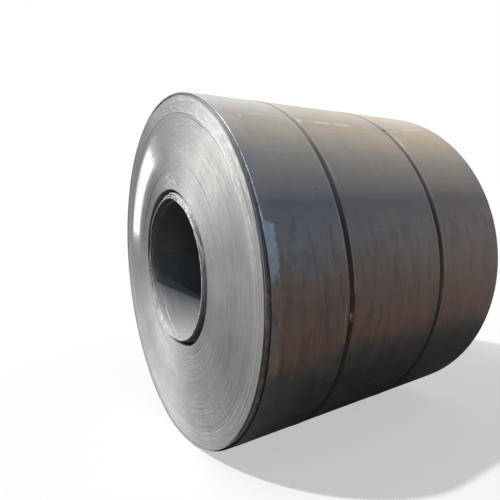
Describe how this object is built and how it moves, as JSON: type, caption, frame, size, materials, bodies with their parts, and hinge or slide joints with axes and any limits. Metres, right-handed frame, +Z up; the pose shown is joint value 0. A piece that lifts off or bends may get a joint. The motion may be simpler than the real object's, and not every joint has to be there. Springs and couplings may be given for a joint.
{
  "type": "steel coil",
  "caption": "Hot-rolled steel strip wound into a heavy coil round an open eye, lying on its side, with loose inner and outer turns and flat steel straps closed by crimped seals.",
  "frame": {"origin": "on the floor, below the middle of the coil", "axes": "+X along the coil's axis, away from the end with the crescent gap in its inner turns; +Z up"},
  "size_m": [1.5, 1.8476, 1.8476],
  "materials": {
    "mill_scale": "semi-gloss blue-grey mill scale with brown oxide streaks on the wound surface, bright satin strip edges on the ends",
    "strap_steel": "dark waxed steel strapping, satin",
    "seal_steel": "crimped sheet steel, satin"
  },
  "bodies": {
    "root": {"coil": "mill_scale", "strap_1": "strap_steel", "strap_2": "strap_steel", "seal_1": "seal_steel", "seal_2": "seal_steel"}
  },
  "joints": []
}
